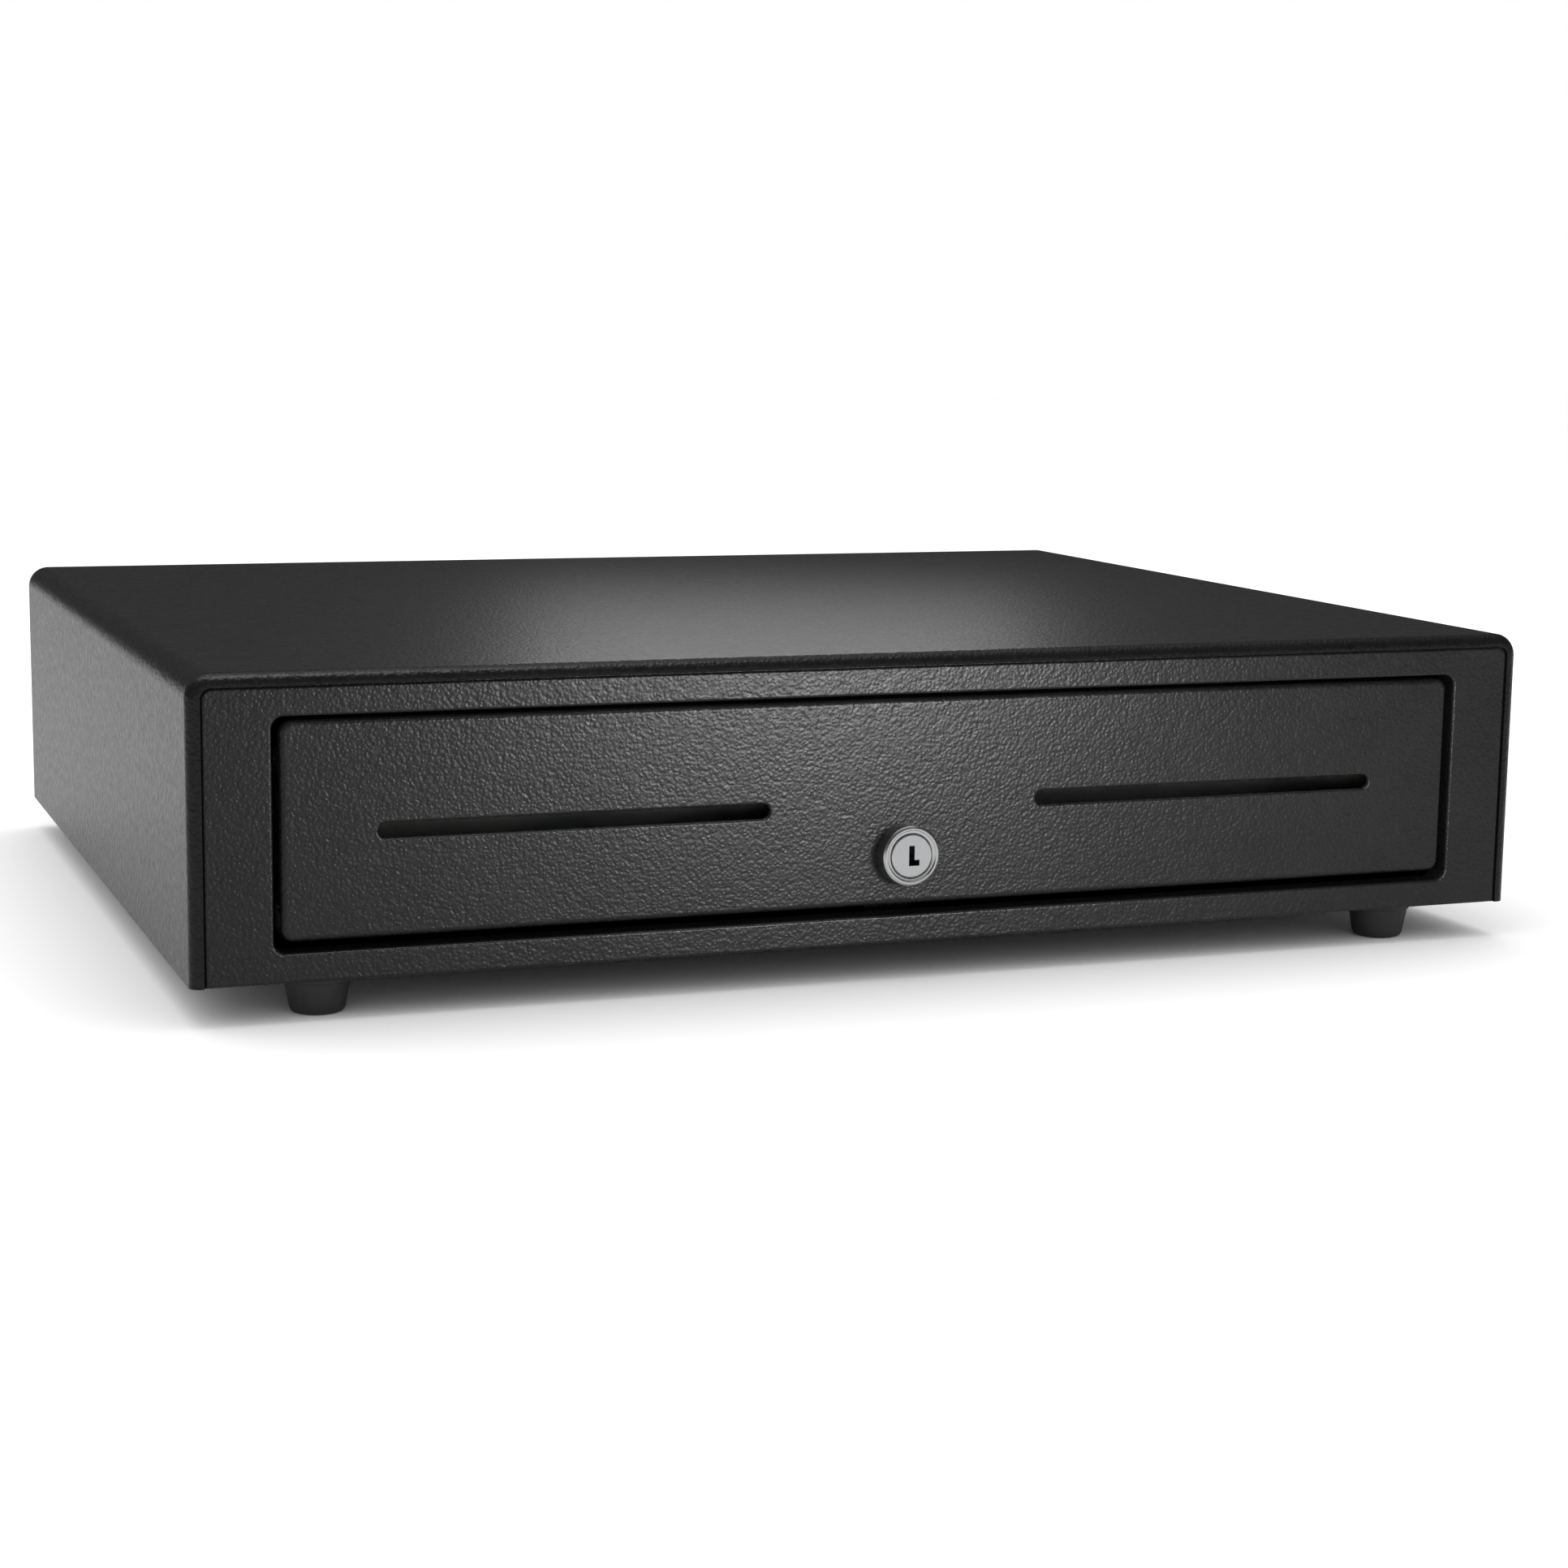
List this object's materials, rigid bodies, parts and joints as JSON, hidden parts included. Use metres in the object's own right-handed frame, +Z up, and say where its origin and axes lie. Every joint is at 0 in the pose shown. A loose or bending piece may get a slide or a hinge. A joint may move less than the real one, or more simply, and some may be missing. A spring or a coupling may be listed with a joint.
{
  "type": "cash drawer",
  "caption": "Black steel cash drawer for a counter: locking drawer front with two media slots, a till with coin cups and bill sections, ball slides and a solenoid latch.",
  "frame": {"origin": "centre of the footprint, on the surface that the feet stand on", "axes": "+Z up, front faces -Y, +X to the right as seen from the front"},
  "size_m": [0.478, 0.3912, 0.111],
  "materials": {
    "powder_coat": "fine textured black powder coat",
    "zinc_sheet": "bright zinc-plated sheet steel",
    "lock_steel": "satin nickel-plated",
    "screw_steel": "black zinc",
    "till_plastic": "fine-grained moulded black plastic",
    "foot_rubber": "matt black rubber",
    "coil_wrap": "wound coil under amber tape",
    "jack_plastic": "moulded nylon",
    "spring_steel": "bright drawn wire",
    "lead_jacket": "smooth black vinyl"
  },
  "bodies": {
    "case": {"top_cover": "powder_coat", "front_frame": "powder_coat", "bottom_pan": "powder_coat", "rear_panel": "powder_coat", "foot_front_left": "foot_rubber", "foot_front_right": "foot_rubber", "foot_rear_left": "foot_rubber", "foot_rear_right": "foot_rubber", "foot_screws": "screw_steel", "cover_screws": "screw_steel", "left_slide_bracket": "zinc_sheet", "right_slide_bracket": "zinc_sheet", "left_slide_outer": "powder_coat", "right_slide_outer": "powder_coat", "slide_screws": "screw_steel", "latch_bracket": "zinc_sheet", "latch_pin": "zinc_sheet", "latch_spring": "spring_steel", "eject_springs": "spring_steel", "spring_cups": "zinc_sheet", "solenoid_frame": "zinc_sheet", "solenoid_coil": "coil_wrap", "switch_body": "jack_plastic", "interface_jack": "jack_plastic", "jack_lead": "lead_jacket"},
    "drawer": {"drawer_front": "powder_coat", "drawer_tub": "zinc_sheet", "drawer_screws": "screw_steel", "left_slide_inner": "zinc_sheet", "right_slide_inner": "zinc_sheet", "left_till_rail": "zinc_sheet", "right_till_rail": "zinc_sheet", "till_tray": "till_plastic", "bill_divider_1": "till_plastic", "bill_divider_2": "till_plastic", "bill_divider_3": "till_plastic", "bill_divider_4": "till_plastic", "coin_tray": "till_plastic", "bill_weight_rod": "zinc_sheet", "left_media_chute": "zinc_sheet", "right_media_chute": "zinc_sheet", "lock_housing": "lock_steel", "lock_nut": "zinc_sheet", "striker": "zinc_sheet"},
    "latch_lever": {"latch_lever": "zinc_sheet"},
    "solenoid_plunger": {"solenoid_plunger": "zinc_sheet"},
    "switch_lever": {"switch_lever": "spring_steel"},
    "lock_plug": {"lock_plug": "lock_steel", "lock_cam": "zinc_sheet"},
    "left_slide_middle": {"left_slide_middle": "zinc_sheet"},
    "left_outer_ball_cage": {"left_outer_ball_cage": "zinc_sheet"},
    "left_inner_ball_cage": {"left_inner_ball_cage": "zinc_sheet"},
    "right_slide_middle": {"right_slide_middle": "zinc_sheet"},
    "right_outer_ball_cage": {"right_outer_ball_cage": "zinc_sheet"},
    "right_inner_ball_cage": {"right_inner_ball_cage": "zinc_sheet"},
    "bill_weight_1": {"bill_weight_1": "till_plastic"},
    "bill_weight_2": {"bill_weight_2": "till_plastic"},
    "bill_weight_3": {"bill_weight_3": "till_plastic"},
    "bill_weight_4": {"bill_weight_4": "till_plastic"},
    "bill_weight_5": {"bill_weight_5": "till_plastic"}
  },
  "joints": [
    {"name": "drawer_slide", "type": "slide", "parent": "case", "child": "drawer", "axis": [0, -1, 0], "range_m": [0, 0.28], "deforming": ["eject_springs"]},
    {"name": "left_slide_middle_slide", "type": "slide", "parent": "case", "child": "left_slide_middle", "axis": [0, -1, 0], "range_m": [0, 0.14]},
    {"name": "left_outer_ball_cage_slide", "type": "slide", "parent": "case", "child": "left_outer_ball_cage", "axis": [0, -1, 0], "range_m": [0, 0.07]},
    {"name": "left_inner_ball_cage_slide", "type": "slide", "parent": "case", "child": "left_inner_ball_cage", "axis": [0, -1, 0], "range_m": [0, 0.21]},
    {"name": "right_slide_middle_slide", "type": "slide", "parent": "case", "child": "right_slide_middle", "axis": [0, -1, 0], "range_m": [0, 0.14]},
    {"name": "right_outer_ball_cage_slide", "type": "slide", "parent": "case", "child": "right_outer_ball_cage", "axis": [0, -1, 0], "range_m": [0, 0.07]},
    {"name": "right_inner_ball_cage_slide", "type": "slide", "parent": "case", "child": "right_inner_ball_cage", "axis": [0, -1, 0], "range_m": [0, 0.21]},
    {"name": "bill_weight_1_hinge", "type": "hinge", "parent": "drawer", "child": "bill_weight_1", "pos_m": [0, 0.12385, 0.079], "axis": [-1, 0, 0], "range_deg": [0, 44]},
    {"name": "bill_weight_2_hinge", "type": "hinge", "parent": "drawer", "child": "bill_weight_2", "pos_m": [0, 0.12385, 0.079], "axis": [-1, 0, 0], "range_deg": [0, 44]},
    {"name": "bill_weight_3_hinge", "type": "hinge", "parent": "drawer", "child": "bill_weight_3", "pos_m": [0, 0.12385, 0.079], "axis": [-1, 0, 0], "range_deg": [0, 44]},
    {"name": "bill_weight_4_hinge", "type": "hinge", "parent": "drawer", "child": "bill_weight_4", "pos_m": [0, 0.12385, 0.079], "axis": [-1, 0, 0], "range_deg": [0, 44]},
    {"name": "bill_weight_5_hinge", "type": "hinge", "parent": "drawer", "child": "bill_weight_5", "pos_m": [0, 0.12385, 0.079], "axis": [-1, 0, 0], "range_deg": [0, 44]},
    {"name": "lock_turn", "type": "hinge", "parent": "drawer", "child": "lock_plug", "pos_m": [0, -0.19015, 0.0434], "axis": [0, 1, 0], "range_deg": [0, 90]},
    {"name": "latch_hinge", "type": "hinge", "parent": "case", "child": "latch_lever", "pos_m": [0, 0.15985, 0.035], "axis": [1, 0, 0], "range_deg": [0, 12], "deforming": ["latch_spring"]},
    {"name": "plunger_slide", "type": "slide", "parent": "case", "child": "solenoid_plunger", "axis": [0, 0, 1], "range_m": [0, 0.0029], "stiffness_N_per_m": 500, "springref_m": -0.003},
    {"name": "switch_hinge", "type": "hinge", "parent": "case", "child": "switch_lever", "pos_m": [0.0612, 0.15585, 0.02], "axis": [-1, 0, 0], "range_deg": [0, 8], "stiffness_Nm_per_rad": 0.01, "springref_deg": -17.19}
  ],
  "couplings": [
    {"joint": "left_slide_middle_slide", "follows": "drawer_slide", "ratio": 0.5},
    {"joint": "left_outer_ball_cage_slide", "follows": "drawer_slide", "ratio": 0.25},
    {"joint": "left_inner_ball_cage_slide", "follows": "drawer_slide", "ratio": 0.75},
    {"joint": "right_slide_middle_slide", "follows": "drawer_slide", "ratio": 0.5},
    {"joint": "right_outer_ball_cage_slide", "follows": "drawer_slide", "ratio": 0.25},
    {"joint": "right_inner_ball_cage_slide", "follows": "drawer_slide", "ratio": 0.75},
    {"joint": "latch_hinge", "follows": "plunger_slide", "rad_per_m": 71.429}
  ]
}
